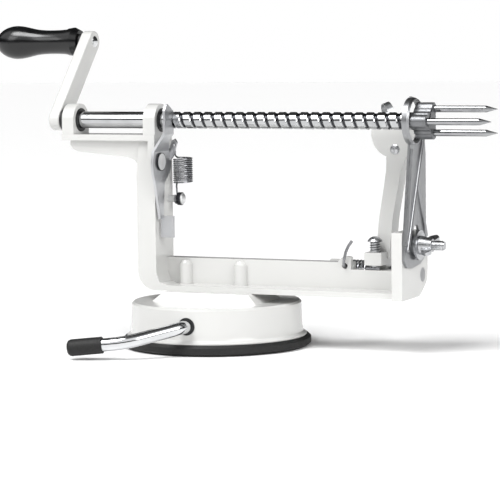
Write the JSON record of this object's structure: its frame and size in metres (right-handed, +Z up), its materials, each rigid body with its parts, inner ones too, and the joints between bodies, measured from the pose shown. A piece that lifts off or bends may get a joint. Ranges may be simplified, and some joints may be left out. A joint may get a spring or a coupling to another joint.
{
  "type": "apple peeler corer",
  "caption": "Crank-driven fruit peeler: screw shaft with pronged fork, sprung peeling arm, ring corer blade, thread latch and lever-worked suction base.",
  "frame": {"origin": "middle of the suction pad's flat underside, on the worktop", "axes": "+X along the drive shaft from crank to fork, +Y away from the suction lever's side, +Z up"},
  "size_m": [0.3263, 0.1398, 0.1807],
  "materials": {
    "white_enamel": "gloss white enamel on cast metal",
    "black_plastic": "gloss moulded plastic",
    "black_nylon": "satin nylon",
    "black_rubber": "matt rubber",
    "chrome_plate": "bright plate",
    "brushed_steel": "dull zinc plated steel",
    "stainless_sheet": "rolled stainless sheet",
    "polished_steel": "polished",
    "spring_steel": "dark oil-tempered wire",
    "grey_casting": "dark cast metal"
  },
  "bodies": {
    "stand": {"frame_casting": "white_enamel", "crank_end_bush": "black_nylon", "latch_end_bush": "black_nylon", "arm_pin": "brushed_steel", "corer_plate": "stainless_sheet", "coring_ring": "stainless_sheet", "blade_stud": "chrome_plate", "blade_spacer": "brushed_steel", "blade_washer": "chrome_plate", "latch_rivet": "chrome_plate", "spring_pin": "chrome_plate", "latch_spring": "spring_steel", "arm_spring": "spring_steel", "base_housing": "white_enamel", "suction_pad": "black_rubber", "base_screw_1": "brushed_steel", "base_screw_2": "brushed_steel", "lever_bush": "black_nylon"},
    "feed": {"crank_spacer": "black_nylon"},
    "crank_shaft": {"drive_shaft": "chrome_plate", "crank_arm": "white_enamel", "handle_spindle": "chrome_plate", "handle_washer": "black_nylon", "fork_head": "grey_casting", "fork_prong_1": "polished_steel", "fork_prong_2": "polished_steel", "fork_prong_3": "polished_steel"},
    "handle": {"crank_handle": "black_plastic"},
    "thread_latch": {"latch_plate": "brushed_steel"},
    "peeling_arm": {"peeler_arm": "white_enamel", "stop_screw": "spring_steel", "peeler_bracket": "stainless_sheet", "peeler_loop": "stainless_sheet", "blade_screw": "chrome_plate"},
    "suction_lever": {"lever_rod": "chrome_plate", "lever_grip": "black_rubber", "lever_cam": "brushed_steel"},
    "lifter": {"pad_lifter": "black_nylon"},
    "wing_nut": {"wing_nut": "chrome_plate"}
  },
  "joints": [
    {"name": "shaft_feed", "type": "slide", "parent": "stand", "child": "feed", "axis": [1, 0, 0], "range_m": [-0.1106, 0]},
    {"name": "crank_turn", "type": "hinge", "parent": "feed", "child": "crank_shaft", "pos_m": [0, 0, 0.1263], "axis": [1, 0, 0], "range_deg": [-6120, 0]},
    {"name": "handle_spin", "type": "hinge", "parent": "crank_shaft", "child": "handle", "pos_m": [-0.13, 0.03928, 0.17086], "axis": [1, 0, 0], "continuous": true},
    {"name": "latch_swing", "type": "hinge", "parent": "stand", "child": "thread_latch", "pos_m": [-0.0308, -0.008, 0.1032], "axis": [1, 0, 0], "range_deg": [0, 14], "stiffness_Nm_per_rad": 0.06, "springref_deg": -34.38, "deforming": ["latch_spring"]},
    {"name": "arm_swing", "type": "hinge", "parent": "stand", "child": "peeling_arm", "pos_m": [0.0925, 0.0198, 0.0413], "axis": [1, 0, 0], "range_deg": [-45, 0], "stiffness_Nm_per_rad": 0.25, "springref_deg": 34.38, "deforming": ["arm_spring"]},
    {"name": "lever_turn", "type": "hinge", "parent": "stand", "child": "suction_lever", "pos_m": [0.0038, -0.03, 0.0158], "axis": [0, 1, 0], "range_deg": [0, 100]},
    {"name": "pad_lift", "type": "slide", "parent": "stand", "child": "lifter", "axis": [0, 0, 1], "range_m": [0, 0.0016]},
    {"name": "wing_nut_turn", "type": "hinge", "parent": "stand", "child": "wing_nut", "pos_m": [0.122, 0.0056, 0.0588], "axis": [1, 0, 0], "continuous": true}
  ],
  "couplings": [
    {"joint": "shaft_feed", "follows": "crank_turn", "m_per_rad": 0.0010345},
    {"joint": "pad_lift", "follows": "lever_turn", "m_per_rad": 0.00088}
  ]
}
